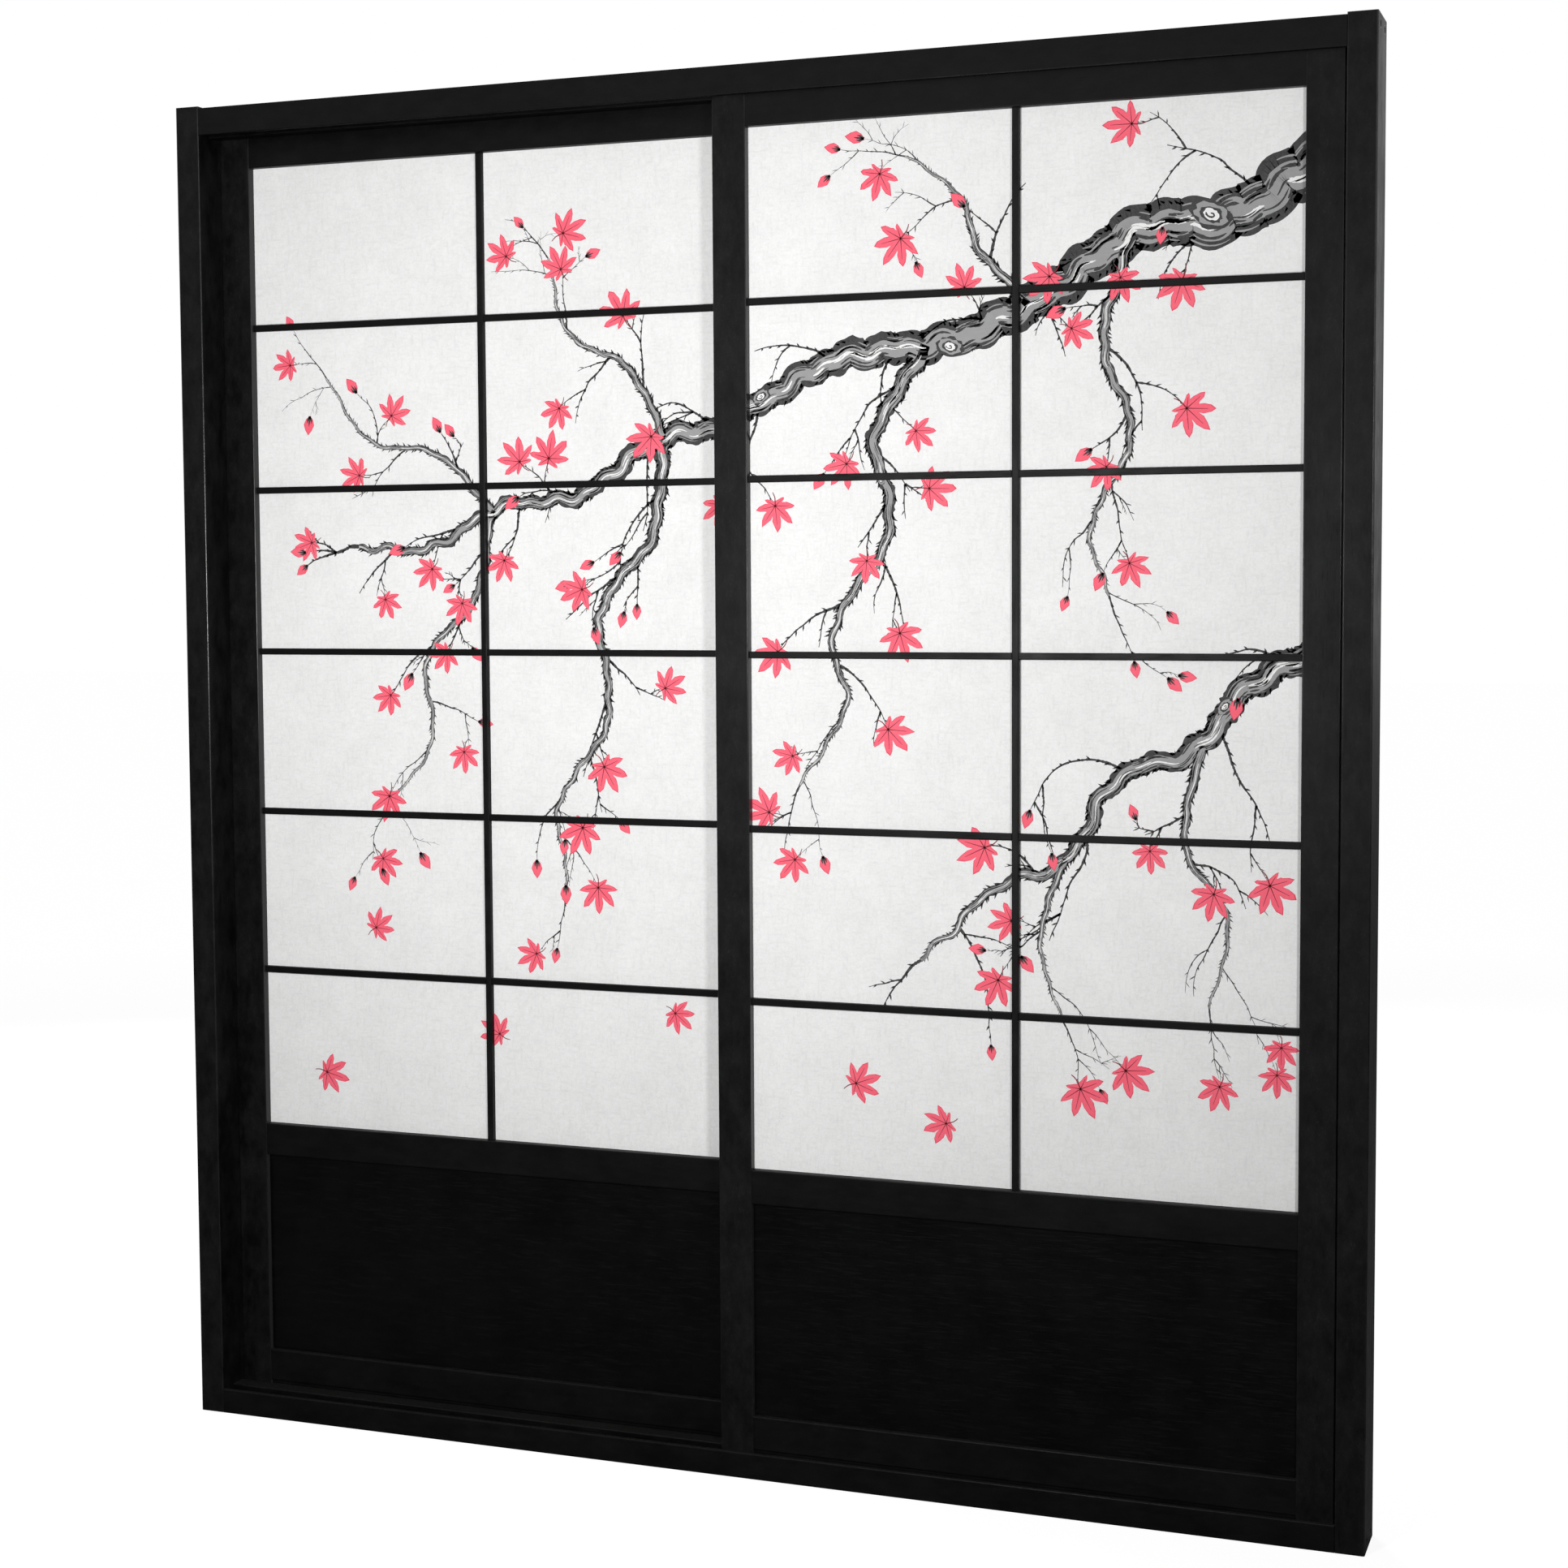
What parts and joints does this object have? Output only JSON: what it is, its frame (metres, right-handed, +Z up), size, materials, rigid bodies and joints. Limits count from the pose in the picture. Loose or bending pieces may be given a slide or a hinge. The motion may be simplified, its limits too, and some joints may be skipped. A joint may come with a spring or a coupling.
{
  "type": "pair of shoji sliding panels",
  "caption": "Pair of latticed paper sliding panels in a two-channel wooden frame; each panel slides past the other to open the doorway.",
  "frame": {"origin": "under the middle of the frame, on the sill's underside", "axes": "+X to the right seen from the front, +Y to the back, +Z up"},
  "size_m": [1.876, 0.0874, 2.108],
  "materials": {
    "outer_frame": "satin black lacquer, edges eased",
    "panel_frame": "satin black lacquer, edges eased",
    "lattice": "satin black lacquer",
    "board": "satin black lacquer",
    "paper": "matt fibrous rice paper",
    "screw": "zinc plated"
  },
  "bodies": {
    "frame": {"left_jamb": "outer_frame", "right_jamb": "outer_frame", "head_track": "outer_frame", "sill_track": "outer_frame", "frame_screws": "screw"},
    "left_panel": {"left_panel_left_stile": "panel_frame", "left_panel_right_stile": "panel_frame", "left_panel_bottom_rail": "panel_frame", "left_panel_mid_rail": "panel_frame", "left_panel_top_rail": "panel_frame", "left_panel_lower_board": "board", "left_panel_upright_bar": "lattice", "left_panel_cross_bar_1": "lattice", "left_panel_cross_bar_2": "lattice", "left_panel_cross_bar_3": "lattice", "left_panel_cross_bar_4": "lattice", "left_panel_cross_bar_5": "lattice", "left_panel_paper": "paper", "left_panel_bottom_bead": "lattice", "left_panel_top_bead": "lattice", "left_panel_left_bead": "lattice", "left_panel_right_bead": "lattice"},
    "right_panel": {"right_panel_left_stile": "panel_frame", "right_panel_right_stile": "panel_frame", "right_panel_bottom_rail": "panel_frame", "right_panel_mid_rail": "panel_frame", "right_panel_top_rail": "panel_frame", "right_panel_lower_board": "board", "right_panel_upright_bar": "lattice", "right_panel_cross_bar_1": "lattice", "right_panel_cross_bar_2": "lattice", "right_panel_cross_bar_3": "lattice", "right_panel_cross_bar_4": "lattice", "right_panel_cross_bar_5": "lattice", "right_panel_paper": "paper", "right_panel_bottom_bead": "lattice", "right_panel_top_bead": "lattice", "right_panel_left_bead": "lattice", "right_panel_right_bead": "lattice"}
  },
  "joints": [
    {"name": "left_panel_slide", "type": "slide", "parent": "frame", "child": "left_panel", "axis": [1, 0, 0], "range_m": [0, 0.8705]},
    {"name": "right_panel_slide", "type": "slide", "parent": "frame", "child": "right_panel", "axis": [-1, 0, 0], "range_m": [0, 0.8705]}
  ]
}
